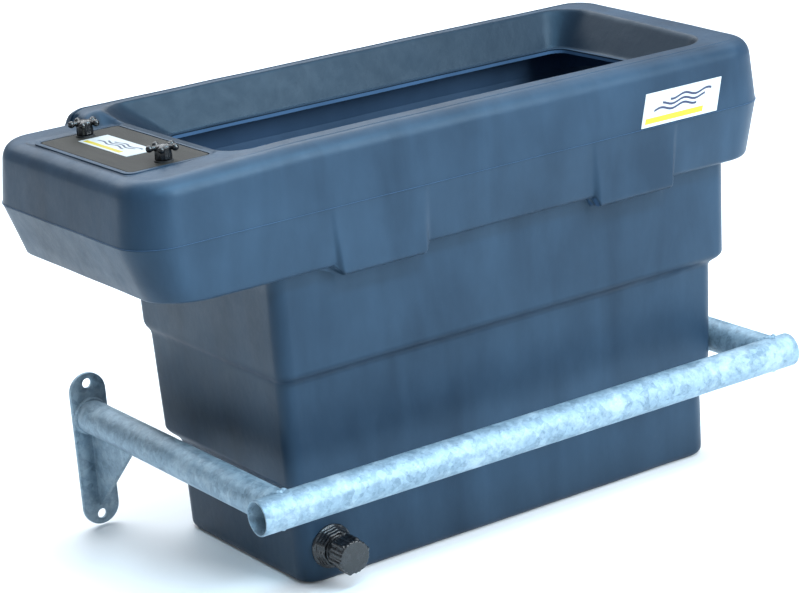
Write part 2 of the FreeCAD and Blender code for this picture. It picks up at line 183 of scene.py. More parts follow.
def makeTankPlastic():
    look = tankFinish
    s = Shade("tankPolyethylene", Specular_IOR_Level=0.26, Specular_Tint=(0.56, 0.80, 1.0))
    at = s.place()
    cloud = s.noise(at, 3.2, 4.0, 0.6)
    flow = s.noise(s.stretched(at, (5.0, 5.0, 1.1)), 2.2, 5.0, 0.55, 0.4)
    tone = s.blend(s.spread(cloud * 0.5 + flow * 0.5, 0.38, 0.64), look["deep"], look["worn"])
    upward = s.part(s.normal(), 2)
    grime = s.noise(at, 26.0, 6.0, 0.65)
    dusty = s.spread(upward, 0.25, 0.95) * s.spread(grime, 0.42, 0.72) * 0.10
    scuffs = s.noise(s.stretched(at, (9.0, 9.0, 46.0)), 4.0, 6.0, 0.7, 0.8)
    marks = s.spread(scuffs, 0.66, 0.74) * 0.20
    tone = s.blend(dusty, tone, look["dust"])
    tone = s.blend(marks, tone, look["dust"])
    facing = s.normal()
    outX = (s.part(at, 0) - look["middle"][0]) * s.part(facing, 0)
    outY = (s.part(at, 1) - look["middle"][1]) * s.part(facing, 1)
    inward = 1.0 - s.spread(outX + outY, -0.10, -0.02)
    below = s.part(at, 2) < look["ledgeHeight"]
    level = s.spread(upward, 0.3, 0.6)
    paintedLightMask = (1.0 - (1.0 - inward) * (1.0 - level)) * below
    # painted shade: inward-facing dish surfaces above the ledge are darkened towards the dish colour
    tone = s.blend(inward * (1.0 - below) * 0.85, tone, look["dish"])
    # painted light: inward-facing and level faces below the ledge are lightened to a lit blue
    tone = s.blend(paintedLightMask * (0.55 + 0.45 * s.spread(cloud, 0.35, 0.65)), tone, look["inside"])
    gloss = look["roughness"] + s.spread(grime, 0.3, 0.7) * 0.10 + marks * 0.3 + dusty * 0.4
    fine = s.bump(s.cells(at, look["pebblesPerMetre"]), 0.10, 0.0006)
    bumpy = s.bump(s.noise(at, 60.0, 3.0, 0.5), 0.12, 0.0030, fine)
    return s.use(Base_Color=tone, Roughness=gloss, Normal=bumpy)


lidFinish = {"deep": (0.013, 0.012, 0.010), "pale": (0.034, 0.030, 0.025), "rust": (0.060, 0.030, 0.015)}


def makeLidPlastic():
    look = lidFinish
    s = Shade("lidPolyethylene", Specular_IOR_Level=0.18)
    at = s.place()
    cloud = s.noise(at, 14.0, 5.0, 0.6)
    streak = s.noise(s.stretched(at, (34.0, 5.0, 5.0)), 3.0, 4.0, 0.6, 0.3)
    tone = s.blend(s.spread(cloud * 0.6 + streak * 0.4, 0.36, 0.66), look["deep"], look["pale"])
    stain = s.spread(s.noise(at, 19.0, 4.0, 0.7), 0.62, 0.74) * 0.35
    tone = s.blend(stain, tone, look["rust"])
    grain = s.bump(s.cells(at, 1300.0), 0.16, 0.0005)
    return s.use(Base_Color=tone, Roughness=0.50 + cloud * 0.18, Normal=grain)


# hot dip zinc: crystals of two sizes, white bloom and slow drips
zincFinish = {
    "bright": (0.24, 0.33, 0.40),
    "dull": (0.12, 0.18, 0.23),
    "white": (0.48, 0.57, 0.63),
    "spanglesPerMetre": 85.0,
}


def makeZinc(name, dullness):
    look = zincFinish
    s = Shade(name, Metallic=0.30, Specular_Tint=(0.80, 0.92, 1.0))
    at = s.place()
    bent = s.noise(at, 40.0, 2.0, 0.5)
    spangle = s.part(s.cells(at, look["spanglesPerMetre"], "Color"), 0)
    small = s.part(s.cells(at, look["spanglesPerMetre"] * 2.7, "Color"), 1)
    facets = spangle * 0.6 + small * 0.4
    tone = s.blend(s.spread(facets + bent * 0.3, 0.25, 1.05), look["dull"], look["bright"])
    bloom = s.spread(s.noise(at, 17.0, 6.0, 0.68), 0.50 - dullness * 0.1, 0.70) * 0.5
    tone = s.blend(bloom, tone, look["white"])
    gloss = 0.40 + dullness * 0.12 + facets * 0.16 + bloom * 0.22
    drips = s.noise(s.stretched(at, (1.0, 1.0, 0.35)), 55.0, 4.0, 0.6)
    relief = s.bump(facets, 0.10, 0.0004, s.bump(drips, 0.30, 0.0012))
    return s.use(Base_Color=tone, Roughness=gloss, Normal=relief)


def makeGlossBlack(name, deep, pale, roughness):
    s = Shade(name, Specular_IOR_Level=0.6)
    at = s.place()
    smear = s.noise(at, 85.0, 5.0, 0.6)
    tone = s.blend(s.spread(smear, 0.35, 0.70), deep, pale)
    gloss = roughness + s.spread(smear, 0.40, 0.70) * 0.16
    return s.use(Base_Color=tone, Roughness=gloss, Normal=s.bump(s.noise(at, 160.0), 0.04, 0.0004))


def makeMetal(name, deep, bright, roughness):
    s = Shade(name, Metallic=1.0)
    at = s.place()
    turning = s.noise(s.stretched(at, (60.0, 60.0, 900.0)), 1.0, 3.0, 0.5)
    patina = s.spread(s.noise(at, 60.0, 5.0, 0.65), 0.40, 0.72)
    tone = s.blend(patina, bright, deep)
    gloss = roughness + patina * 0.2 + turning * 0.08
    return s.use(Base_Color=tone, Roughness=gloss, Normal=s.bump(turning, 0.10, 0.0003))


def makeRubber():
    s = Shade("sealRubber", Specular_IOR_Level=0.35)
    powder = s.spread(s.noise(s.place(), 120.0, 5.0, 0.7), 0.42, 0.75)
    tone = s.blend(powder, (0.012, 0.012, 0.013), (0.045, 0.045, 0.047))
    return s.use(Base_Color=tone, Roughness=0.62 + powder * 0.2, Normal=s.bump(powder, 0.15, 0.0003))


def makeFloatPlastic():
    s = Shade("floatPlastic", Specular_IOR_Level=0.5)
    cloud = s.noise(s.place(), 30.0, 4.0, 0.6)
    tone = s.blend(s.spread(cloud, 0.35, 0.7), (0.52, 0.16, 0.03), (0.66, 0.25, 0.06))
    return s.use(Base_Color=tone, Roughness=0.34 + cloud * 0.14, Normal=s.bump(cloud, 0.1, 0.001))


# white film with a yellow band along one long side and rippling dark stripes, no lettering
labelFinish = {
    "film": (0.44, 0.46, 0.46),
    "band": (0.44, 0.33, 0.008),
    "stripe": (0.015, 0.022, 0.060),
}


def makeLabelFilm(name, across, up):
    # across and up each give an axis, the place where it is 0 and its length; lean skews it
    look = labelFinish
    s = Shade(name, Specular_IOR_Level=0.5, Coat_Weight=0.35, Coat_Roughness=0.12)
    at = s.place()
    high = (s.part(at, up["axis"]) - up["start"]) * (1 / up["length"])
    wide = (s.part(at, across["axis"]) - across["start"]) * (1 / across["length"])
    wide = wide - high * across["lean"]
    grime = s.spread(s.noise(at, 70.0, 5.0, 0.7), 0.45, 0.80) * 0.16
    tone = s.blend(grime, look["film"], (0.52, 0.51, 0.47))
    band = (high > 0.09) * (high < 0.26) * (wide < 0.80) * (wide > 0.04)
    tone = s.blend(band, tone, look["band"])
    sway = s.wave(s.node("ShaderNodeMath", {"operation": "SINE"}, {0: wide * 21.0})) * 0.05
    for low, left, right in ((0.42, 0.14, 0.70), (0.56, 0.24, 0.80), (0.70, 0.34, 0.88)):
        line = (high + sway > low) * (high + sway < low + 0.07)
        tone = s.blend(line * (wide > left) * (wide < right), tone, look["stripe"])
    return s.use(Base_Color=tone, Roughness=0.32 + grime * 0.8)


def labelAxes(node, acrossAxis, upAxis, lean, turned):
    low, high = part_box(node)
    across = {"axis": acrossAxis, "start": low[acrossAxis], "length": high[acrossAxis] - low[acrossAxis]}
    up = {"axis": upAxis, "start": low[upAxis], "length": high[upAxis] - low[upAxis]}
    if turned:
        across["start"], across["length"] = high[acrossAxis], -across["length"]
    across["length"] *= 1 - lean
    across["lean"] = lean / (1 - lean)
    return across, up


# the front label's ends slant by this much over its whole length, in millimetres
frontSlant = 18.0
frontLength = 188.0
frontLean = frontSlant / frontLength
finishes = {
    "tank": makeTankPlastic(),
    "lid": makeLidPlastic(),
    "zinc": makeZinc("galvanisedZinc", 0.0),
    "weld": makeZinc("weldZinc", 0.6),
    "knob": makeGlossBlack("knobPlastic", (0.004, 0.004, 0.005), (0.010, 0.011, 0.012), 0.10),
    "drain": makeGlossBlack("drainPlastic", (0.004, 0.005, 0.006), (0.014, 0.015, 0.018), 0.20),
    "brass": makeMetal("turnedBrass", (0.40, 0.26, 0.10), (0.74, 0.54, 0.25), 0.28),
    "steel": makeMetal("platedSteel", (0.42, 0.42, 0.40), (0.70, 0.70, 0.68), 0.26),
    "rubber": makeRubber(),
    "float": makeFloatPlastic(),
    "lidLabel": makeLabelFilm("lidLabelFilm", *labelAxes("lid_label", 1, 0, 0.0, True)),
    "frontLabel": makeLabelFilm("frontLabelFilm", *labelAxes("front_label", 0, 2, frontLean, False)),
}
print("finishes made:", len(finishes))


def addPiece(name, mesh, finish, body, replaced, sharpDegrees=38.0):
    # a mesh in the frame's metres becomes a piece that rides on its body
    mesh.shade_smooth()
    mesh.set_sharp_from_angle(angle=math.radians(sharpDegrees))
    piece = bpy.data.objects.new(name, mesh)
    scene.collection.objects.link(piece)
    mesh.materials.clear()
    mesh.materials.append(finishes[finish])
    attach(piece, body)
    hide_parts(*replaced)
    return piece


def meshOf(name, points, faces):
    mesh = bpy.data.meshes.new(name)
    mesh.from_pydata([tuple(point) for point in points], [], faces)
    mesh.update()
    return mesh


def ringFaces(rings, around, start=0, closed=False):
    faces = []
    for row in range(rings if closed else rings - 1):
        low = start + row * around
        high = start + (row + 1) % rings * around
        for k in range(around):
            after = (k + 1) % around
            faces.append((low + k, low + after, high + after, high + k))
    return faces


def meshFrom(name, build):
    # a mesh from a bmesh, which is freed
    mesh = bpy.data.meshes.new(name)
    build.to_mesh(mesh)
    build.free()
    return mesh


def addWalls(build, rings, closed=False):
    # quads between neighbouring rings of vertices
    following = rings[1:] + rings[:1] if closed else rings[1:]
    for low, high in zip(rings, following):
        for k in range(len(low)):
            after = (k + 1) % len(low)
            build.faces.new((low[k], low[after], high[after], high[k]))


def addEnds(build, rings):
    build.faces.new(list(reversed(rings[0])))
    build.faces.new(rings[-1])


def baked(mesh, build):
    # the mesh after the modifiers that build puts on it
    holder = bpy.data.objects.new("holder", mesh)
    scene.collection.objects.link(holder)
    build(holder)
    bpy.context.view_layer.update()
    graph = bpy.context.evaluated_depsgraph_get()
    made = bpy.data.meshes.new_from_object(holder.evaluated_get(graph))
    bpy.data.objects.remove(holder)
    return made


def addLathe(build, profile, start, axis, around=72, closed=False, bumps=0, bumpDepth=0.0):
    # a round body in a bmesh, from (radius, distance) pairs; bumps flute it lengthwise
    axis = Vector(axis).normalized()
    side = axis.orthogonal().normalized()
    other = axis.cross(side)
    rings = []
    for radius, along in profile:
        ring = []
        for k in range(around):
            turn = 2 * math.pi * k / around
            reach = radius + bumpDepth * math.cos(bumps * turn) * (radius > 4 * bumpDepth)
            outward = side * math.cos(turn) + other * math.sin(turn)
            ring.append(build.verts.new(Vector(start) + axis * along + outward * reach))
        rings.append(ring)
    addWalls(build, rings, closed)
    if not closed:
        addEnds(build, rings)


def addSweep(build, path, radii, outwards, around=14):
    # a closed bead along a loop of points, a little flattened against its outward direction
    rings = []
    for k, point in enumerate(path):
        ahead = (path[(k + 1) % len(path)] - path[k - 1]).normalized()
        out = (outwards[k] - ahead * outwards[k].dot(ahead)).normalized()
        other = ahead.cross(out)
        ring = []
        for j in range(around):
            turn = 2 * math.pi * j / around
            outward = out * math.cos(turn) + other * math.sin(turn)
            ring.append(build.verts.new(point + outward * radii[k]))
        rings.append(ring)
    addWalls(build, rings, True)


def meltedMesh(name, fill, voxel, smoothing=0, cut=None):
    # overlapping bodies from fill, melted into one skin, then bored by cut
    build = bmesh.new()
    fill(build)
    bmesh.ops.recalc_face_normals(build, faces=build.faces)
    mesh = meshFrom(name, build)
    cutter = holderOf("bore", cut) if cut else None

    def shape(holder):
        melt = holder.modifiers.new("melt", "REMESH")
        melt.mode = "VOXEL"
        melt.voxel_size = voxel
        if smoothing:
            soften = holder.modifiers.new("soften", "SMOOTH")
            soften.iterations = smoothing
            soften.factor = 0.5
        if cutter:
            boolean(holder, "DIFFERENCE", cutter)

    made = baked(mesh, shape)
    if cutter:
        bpy.data.objects.remove(cutter)
    made.name = name
    return made


# the tank's levels in millimetres: height, left, right, front, back, corner radius
tankShape = {
    "plinthFoot": (0, -362, 519, -177, 227, 34),
    "plinthHead": (171, -365, 522, -180, 230, 34),
    "waistFoot": (184, -379, 533, -190, 253, 26),
    "waistHead": (367, -383, 538, -196, 259, 26),
    "chestFoot": (381, -391, 558, -212, 268, 26),
    "chestHead": (557, -394, 562, -216, 271, 26),
    "collarFoot": (557, -606, 616, -241, 266, 60),
    "collarSeam": (656, -642, 642, -252, 275, 72),
    "collarHead": (795, -626, 631, -243, 267, 66),
    "dishFoot": (715, -350, 522, -172, 203, 36),
    "dishHead": (800, -489, 576, -203, 231, 76),
    "bayFoot": (760, -720, -433, -158, 184, 30),
    "bayHead": (800, -720, -425, -194, 222, 40),
    "pads": ((-290, -102), (236, 420)),
    "padBottom": 540.0,
    "padFront": -250.0,
    "padDraft": 10.0,
    "padEdge": 11.0,
    # how far the pads reach down the chest, and how far above the collar's foot they stand straight
    "padFade": 90.0,
    "padShoulder": 18.0,
    "deckHeight": 760.0,
    "rimFront": (-243.0, 768.0),
    "rimBack": (267.0, 785.0),
    "stepStart": -492.0,
    "stepLength": 36.0,
    "frontStepStart": -625.0,
    "frontStepLength": 330.0,
    "stepTurn": (-130.0, 200.0),
    "rollRadius": 28.0,
    "topRounds": (8.0, 7.0, 5.0),
    "footInset": 60,
    "bends": (0, 16, 7, 7, 7, 8, 9, 10, 0),
    "bendSteps": 6,
    "rowGap": 24,
    "topRows": 60,
    "partingLine": ((0.2, 1.1), (1.7, 1.1), (1.9, 0.0)),
    "ledge": 9.0,
    "skin": 8.0,
    "waviness": 0.7,
    "waveScale": 0.009,
    "calmRadius": 0.13,
}
sideCounts = {"front": 330, "back": 170, "end": 60, "corner": 18}
# how much denser a side's points are at its busy places
crowding = 2.6


def sidePlaces(count, left, right, busy):
    # fractions along a side, closer together near the busy places
    fine = np.linspace(0, 1, 4001)
    x = left + (right - left) * fine
    density = np.ones_like(fine)
    for place, width in busy:
        density += crowding * np.exp(-((x - place) / width) ** 2)
    total = np.concatenate([[0], np.cumsum((density[1:] + density[:-1]) / 2)])
    return np.interp(np.linspace(0, 1, count + 1)[:-1], total / total[-1], fine)


def makeSpacing():
    seam = tankShape["collarSeam"]
    left, right = seam[1] + seam[5], seam[2] - seam[5]
    step = (tankShape["stepStart"] + 14, 26.0)
    edges = [(x + inset, 16.0) for pad in tankShape["pads"] for x, inset in zip(pad, (5, -5))]
    ends = np.linspace(0, 1, sideCounts["end"] + 1)[:-1]
    return {
        "front": sidePlaces(sideCounts["front"], left, right, edges + [step]),
        "right": ends,
        "back": 1 - sidePlaces(sideCounts["back"], left, right, [step])[::-1],
        "left": ends,
        "corner": np.linspace(0, 1, sideCounts["corner"] + 1)[:-1],
    }


spacing = makeSpacing()


def tankRing(level, grow=0.0):
    # a level's outline as a row of points, anticlockwise from the left end of the front
    z, left, right, front, back, radius = level
    left, right, front, back = left - grow, right + grow, front - grow, back + grow
    radius = np.maximum(radius + grow, 4.0)
    west, east, south, north = left + radius, right - radius, front + radius, back - radius

    def along(start, end, part):
        return np.outer(1 - part, start) + np.outer(part, end)

    def bend(centre, degrees):
        turn = np.radians(degrees + 90 * spacing["corner"])
        return np.stack([centre[0] + radius * np.cos(turn), centre[1] + radius * np.sin(turn)], 1)

    return np.concatenate([
        along((west, front), (east, front), spacing["front"]),
        bend((east, south), -90),
        along((right, south), (right, north), spacing["right"]),
        bend((east, north), 0),
        along((east, back), (west, back), spacing["back"]),
        bend((west, north), 90),
        along((left, north), (left, south), spacing["left"]),
        bend((west, south), 180),
    ])


def rampUp(value, start, length):
    t = np.clip((value - start) / length, 0, 1)
    return t * t * (3 - 2 * t)


def padMask(x, z):
    # 1 on the stiffening pads, 0 beside them
    shape = tankShape
    seam = shape["collarSeam"][0]
    inset = shape["padDraft"] * np.clip((seam - z) / (seam - shape["padBottom"]), 0, 1)
    mask = np.zeros_like(x)
    for left, right in shape["pads"]:
        edge = shape["padEdge"]
        inside = rampUp(x, left + inset - edge / 2, edge) * (1 - rampUp(x, right - inset - edge / 2, edge))
        mask = np.maximum(mask, inside)
    return mask


def roundedRow(keys, rounds, steps):
    # a side profile through key levels, with a quadratic bend at each inner key
    rows = [keys[0]]
    for k in range(1, len(keys) - 1):
        before, here, after = (np.array(keys[k + d], float) for d in (-1, 0, 1))
        sizes = [max(np.hypot(other[0] - here[0], other[3] - here[3]), 1e-6) for other in (before, after)]
        enter = here + (before - here) * min(0.5, rounds[k] / sizes[0])
        leave = here + (after - here) * min(0.5, rounds[k] / sizes[1])
        gap = np.array(rows[-1], float)
        count = max(1, int(np.hypot(enter[0] - gap[0], enter[3] - gap[3]) / tankShape["rowGap"]))
        rows += [tuple(gap + (enter - gap) * (j / count)) for j in range(1, count + 1)]
        for j in range(1, steps + 1):
            t = j / steps
            rows.append(tuple(enter * (1 - t) ** 2 + here * 2 * t * (1 - t) + leave * t ** 2))
    gap = np.array(rows[-1], float)
    last = np.array(keys[-1], float)
    count = max(1, int(np.hypot(last[0] - gap[0], last[3] - gap[3]) / tankShape["rowGap"]))
    rows += [tuple(gap + (last - gap) * (j / count)) for j in range(1, count + 1)]
    return rows


def outlineDistance(x, y, level):
    # how far outside a rounded rectangle a point lies, negative inside
    z, left, right, front, back, radius = level
    qx = np.abs(x - (left + right) / 2) - ((right - left) / 2 - radius)
    qy = np.abs(y - (front + back) / 2) - ((back - front) / 2 - radius)
    return np.hypot(np.maximum(qx, 0), np.maximum(qy, 0)) + np.minimum(np.maximum(qx, qy), 0) - radius


def bowlHeight(x, y, foot, head):
    # the height of a tapered bowl over a point, from its foot upwards
    foot, head = np.array(foot, float), np.array(head, float)
    low = np.zeros_like(x)
    high = np.full_like(x, 4.0)
    for _ in range(26):
        middle = (low + high) / 2
        level = [foot[k] + (head[k] - foot[k]) * middle for k in range(6)]
        outside = outlineDistance(x, y, level) > 0
        low = np.where(outside, middle, low)
        high = np.where(outside, high, middle)
    return foot[0] + (head[0] - foot[0]) * high


def softMin(a, b, reach):
    near = np.maximum(reach - np.abs(a - b), 0) / reach
    return np.minimum(a, b) - near * near * reach / 4


def crownHeight(x, y):
    # the rim's crown: level round the lid, then a rounded step up to the rim, which leans forward
    shape = tankShape
    back = rampUp(y, *shape["stepTurn"])
    start = shape["frontStepStart"] + (shape["stepStart"] - shape["frontStepStart"]) * back
    length = shape["frontStepLength"] + (shape["stepLength"] - shape["frontStepLength"]) * back
    t = np.clip((x - start) / length, 0, 1)
    steep = np.sqrt(np.maximum(1 - (1 - t) ** 2, 0)) * rampUp(t, 0, 0.3)
    rise = steep * back + rampUp(t, 0, 1) * (1 - back)
    near, far = shape["rimFront"], shape["rimBack"]
    rim = near[1] + (far[1] - near[1]) * (y - near[0]) / (far[0] - near[0])
    return shape["deckHeight"] + (rim - shape["deckHeight"]) * rise


def topHeight(x, y):
    shape = tankShape
    crown = crownHeight(x, y)
    bay = bowlHeight(x, y, shape["bayFoot"], shape["bayHead"])
    dish = bowlHeight(x, y, shape["dishFoot"], shape["dishHead"])
    bayRound, dishRound, ledgeRound = shape["topRounds"]
    height = softMin(softMin(crown, bay, bayRound), dish, dishRound)
    ledge = shape["dishFoot"][0]
    return -softMin(-height, np.full_like(height, -ledge), ledgeRound)


def tankRows():
    shape = tankShape
    rows = []
    base, inset = shape["plinthFoot"], shape["footInset"]
    inner = (0, base[1] + inset, base[2] - inset, base[3] + inset, base[4] - inset, 20)
    names = ("plinthHead", "waistFoot", "waistHead", "chestFoot", "chestHead", "collarFoot", "collarSeam")
    keys = [inner, base] + [shape[name] for name in names]
    for level in roundedRow(keys, shape["bends"], shape["bendSteps"]):
        ring = tankRing(level)
        rows.append(np.column_stack([ring, np.full(len(ring), level[0])]))
    return rows


def raisePads(rows):
    # pulls the front of the collar's underside and taper out to the pads
    shape = tankShape
    seamZ = shape["collarSeam"][0]
    chestFront = shape["chestHead"][3]
    top = shape["collarFoot"][0]
    drop = top - shape["padBottom"]
    fade = shape["padFade"]
    for row in rows:
        x, y, z = row[:, 0], row[:, 1], row[:, 2]
        mask = padMask(x, z) * (np.arange(len(x)) < sideCounts["front"])
        chest = (z < top - 1) & (y > chestFront - 6)
        collar = ~chest & (z > top - 3)
        fallen = np.clip((z - (top - fade)) / fade, 0, 1) * drop
        out = np.clip((chestFront - y) / (chestFront - shape["collarFoot"][3]), 0, 1)
        lowered = z - drop * np.clip((seamZ - z) / (seamZ - top), 0, 1)
        pulled = chestFront + (shape["padFront"] - chestFront) * out
        pulled = np.minimum(np.where(z > top + shape["padShoulder"], shape["padFront"], pulled), y)
        sunk = np.where(chest, -fallen, 0)
        row[:, 2] = z + mask * np.where(collar, lowered - z, sunk)
        row[:, 1] = y + mask * np.where(collar, pulled - y, 0)


def collarRows():
    # from the seam up the collar, round the rolled rim and in over the top to the drinking opening
    shape = tankShape
    seam, head = shape["collarSeam"], shape["collarHead"]
    roll = shape["rollRadius"]
    rows = []
    headRing = tankRing(head)
    crown = crownHeight(headRing[:, 0], headRing[:, 1])

    def wallRow(z, grow):
        t = ((z - seam[0]) / (head[0] - seam[0]))[:, None]
        return tankRing(seam, grow) * (1 - t) + tankRing(head, grow) * t

    for up, out in shape["partingLine"]:
        z = np.full(len(crown), seam[0] + up)
        rows.append(np.column_stack([wallRow(z, out), z]))
    start = crown - roll
    for part in np.linspace(0.03, 1, 7):
        z = seam[0] + (start - seam[0]) * part
        rows.append(np.column_stack([wallRow(z, 0.0), z]))
    for turn in np.radians(np.linspace(9, 90, 10)):
        z = start + roll * math.sin(turn)
        flat = wallRow(np.minimum(z, start + 0.35 * roll), -roll * (1 - math.cos(turn)))
        rows.append(np.column_stack([flat, z]))
    outer = rows[-1][:, :2]
    opening = tankRing(shape["dishFoot"], -shape["ledge"])
    for part in np.linspace(0, 1, shape["topRows"])[1:]:
        flat = outer * (1 - part) + opening * part
        rows.append(np.column_stack([flat, topHeight(flat[:, 0], flat[:, 1])]))
    return rows


def waved(points):
    # the slow unevenness of a moulded skin, left out under the labels
    low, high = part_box("front_label")
    middle = (low + high) / 2
    for point in points:
        away = (Vector(point) * mm - middle).length / tankShape["calmRadius"]
        clear = min(1.0, max(0.0, away - 0.7))
        shift = noise.noise_vector(Vector(point) * tankShape["waveScale"]) * tankShape["waviness"] * clear
        point += np.array(shift)
    points[:, 2] = np.maximum(points[:, 2], 0.0)
    return points


def addBlock(build, size, centre, low, high, radius):
    # an upright block with rounded corners, for the cutters and the recess
    outline = []
    for quarter, (sx, sy) in enumerate(((1, 1), (-1, 1), (-1, -1), (1, -1))):
        for step in range(7):
            turn = math.radians(90 * quarter + 15 * step)
            x = centre[0] + sx * (size[0] / 2 - radius) + radius * math.cos(turn)
            y = centre[1] + sy * (size[1] / 2 - radius) + radius * math.sin(turn)
            outline.append((x, y))
    rings = [[build.verts.new((x, y, level)) for x, y in outline] for level in (low, high)]
    addEnds(build, rings)
    addWalls(build, rings)


def addRod(build, radius, start, end, around=48):
    axis = Vector(end) - Vector(start)
    side = axis.orthogonal().normalized()
    other = axis.normalized().cross(side)
    rings = []
    for place in (start, end):
        ring = []
        for k in range(around):
            turn = 2 * math.pi * k / around
            outward = side * math.cos(turn) + other * math.sin(turn)
            ring.append(build.verts.new(Vector(place) + outward * radius))
        rings.append(ring)
    addEnds(build, rings)
    addWalls(build, rings)


def holderOf(name, fill):
    # a hidden object whose mesh is filled by a function, for a Boolean
    build = bmesh.new()
    fill(build)
    holder = bpy.data.objects.new(name, meshFrom(name, build))
    scene.collection.objects.link(holder)
    return holder


# openings in the tank, in metres; where the hatch's cutter overlaps the recess's, a 2 mm film stays
openings = {
    "recessGap": 0.0015,
    "recessFloor": 0.752,
    "recessTop": 0.83,
    "recessCorner": 0.010,
    "trayWall": 0.008,
    "trayHeight": 0.016,
    "trayCorner": 0.016,
    "hatch": (0.118, 0.208),
    "hatchDepth": 0.03,
    "hatchOverlap": 0.002,
    "hatchCorner": 0.009,
    "drainPocket": 0.046,
    "drainHole": 0.0243,
    "drainReach": 0.05,
    "tailHole": 0.0118,
    "tailInset": 0.01,
}


def tankCutters(build):
    low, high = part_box("lid_cover")
    centre = (low + high) / 2
    size = high - low
    gap, floor = openings["recessGap"], openings["recessFloor"]
    wide = (size.x + 2 * gap, size.y + 2 * gap)
    addBlock(build, wide, centre, floor, openings["recessTop"], openings["recessCorner"])
    bottom, top = floor - openings["hatchDepth"], floor + openings["hatchOverlap"]
    addBlock(build, openings["hatch"], centre, bottom, top, openings["hatchCorner"])


def roundCutters(build):
    low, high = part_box("drain_body")
    x, z = (low.x + high.x) / 2, (low.z + high.z) / 2
    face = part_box("drain_gasket")[0].y - openings["trayWall"]
    reach = openings["drainReach"]
    addRod(build, openings["drainPocket"], (x, face - reach, z), (x, face, z), 72)
    addRod(build, openings["drainHole"], (x, face - 0.02, z), (x, face + reach, z))
    low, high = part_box("inlet_tail")
    x, y = (low.x + high.x) / 2, (low.y + high.y) / 2
    inset = openings["tailInset"]
    addRod(build, openings["tailHole"], (x, y, low.z + inset), (x, y, high.z - inset))


def recessTray(build):
    low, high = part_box("lid_cover")
    centre = (low + high) / 2
    size = high - low
    wall = openings["trayWall"] + openings["recessGap"]
    floor = openings["recessFloor"] - openings["trayWall"]
    wide = (size.x + 2 * wall, size.y + 2 * wall)
    addBlock(build, wide, centre, floor, floor + openings["trayHeight"], openings["trayCorner"])


def boolean(holder, operation, other):
    modifier = holder.modifiers.new(operation.lower(), "BOOLEAN")
    modifier.operation = operation
    modifier.solver = "EXACT"
    modifier.object = other


def makeTank():
    rows = tankRows()
    raisePads(rows)
    rows += collarRows()
    around = len(rows[0])
    points = waved(np.concatenate(rows)) * mm
    faces = ringFaces(len(rows), around)
    faces.append(tuple(reversed(range(around))))
    mesh = meshOf("tank_shell", points, faces)
    fills = {"tray": recessTray, "squareCuts": tankCutters, "roundCuts": roundCutters}
    helpers = [holderOf(name, fill) for name, fill in fills.items()]

    def build(holder):
        shell = holder.modifiers.new("skin", "SOLIDIFY")
        shell.thickness = tankShape["skin"] * mm
        shell.offset = -1.0
        boolean(holder, "UNION", helpers[0])
        boolean(holder, "DIFFERENCE", helpers[1])
        boolean(holder, "DIFFERENCE", helpers[2])

    made = baked(mesh, build)
    for helper in helpers:
        bpy.data.objects.remove(helper)
    made.name = "tank_shell"
    print("tank made:", len(made.polygons), "faces")
    return addPiece("tank_shell", made, "tank", "trough", ["tank"], 40.0)


makeTank()


# the knobs: a fluted stem, a domed hub and five arms with balls
knobShape = {
    "stem": (
        (12.6, 0.0), (13.8, 1.2), (14.0, 3.0), (13.2, 15.0),
        (12.6, 20.0), (11.2, 22.6), (7.0, 24.6), (0.6, 25.2),
    ),
    "lobes": 5,
    "seatGap": 0.4,
    "flutes": 12,
    "fluteDepth": 0.55,
    "reach": 21.5,
    "ball": 5.9,
    "arm": (4.8, 3.4),
    "armHeight": 19.6,
    "turn": 0.35,
    "bore": 4.0,
    "boreDepth": 15.0,
    "voxel": 0.65,
}


def makeKnob(side):
    shape = knobShape
    low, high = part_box("knob_stud_" + side)
    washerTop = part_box("knob_washer_" + side)[1].z
    base = Vector(((low.x + high.x) / 2, (low.y + high.y) / 2, washerTop + shape["seatGap"] * mm))

    def fill(build):
        stem = [(radius * mm, along * mm) for radius, along in shape["stem"]]
        addLathe(build, stem, base, (0, 0, 1), 96, False, shape["flutes"], shape["fluteDepth"] * mm)
        crown = base + Vector((0, 0, shape["armHeight"] * mm))
        for lobe in range(shape["lobes"]):
            angle = 2 * math.pi * lobe / shape["lobes"] + shape["turn"]
            outward = Vector((math.cos(angle), math.sin(angle), 0))
            thick, thin = shape["arm"]
            reach = shape["reach"] * mm
            addLathe(build, [(thick * mm, 0.0), (thin * mm, reach)], crown, outward, 24)
            ball = shape["ball"] * mm
            curve = [math.pi * (0.04 + 0.92 * k / 14) for k in range(15)]
            profile = [(ball * math.sin(t), ball * (1 - math.cos(t))) for t in curve]
            addLathe(build, profile, crown + outward * (reach - ball), outward, 32)

    def cut(build):
        depth = shape["boreDepth"] * mm
        addRod(build, shape["bore"] * mm, base - Vector((0, 0, 0.004)), base + Vector((0, 0, depth)), 32)

    name = "knob_grip_" + side
    made = meltedMesh(name, fill, shape["voxel"] * mm, 5, cut)
    addPiece(name, made, "knob", "knob_" + side, ["knob_" + side], 60.0)


for side in ("back", "front"):
    makeKnob(side)
print("knobs made")


# the guard's front tube with cut ends a little rounded, and the weld beads
guardShape = {
    "wall": 3.2,
    "endRound": 0.9,
    "segments": 60,
    "unevenness": 0.35,
    "bead": 4.0,
    "ripple": 0.2,
    "ripples": 38,
    "beadPoints": 260,
}


def tubeOf(node, axis):
    # a tube's radius and the ends of its middle line
    low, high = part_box(node)
    middle = (low + high) / 2
    start, end = middle.copy(), middle.copy()
    start[axis], end[axis] = low[axis], high[axis]
    radius = (high[2] - low[2]) / 2
    return radius, start, end


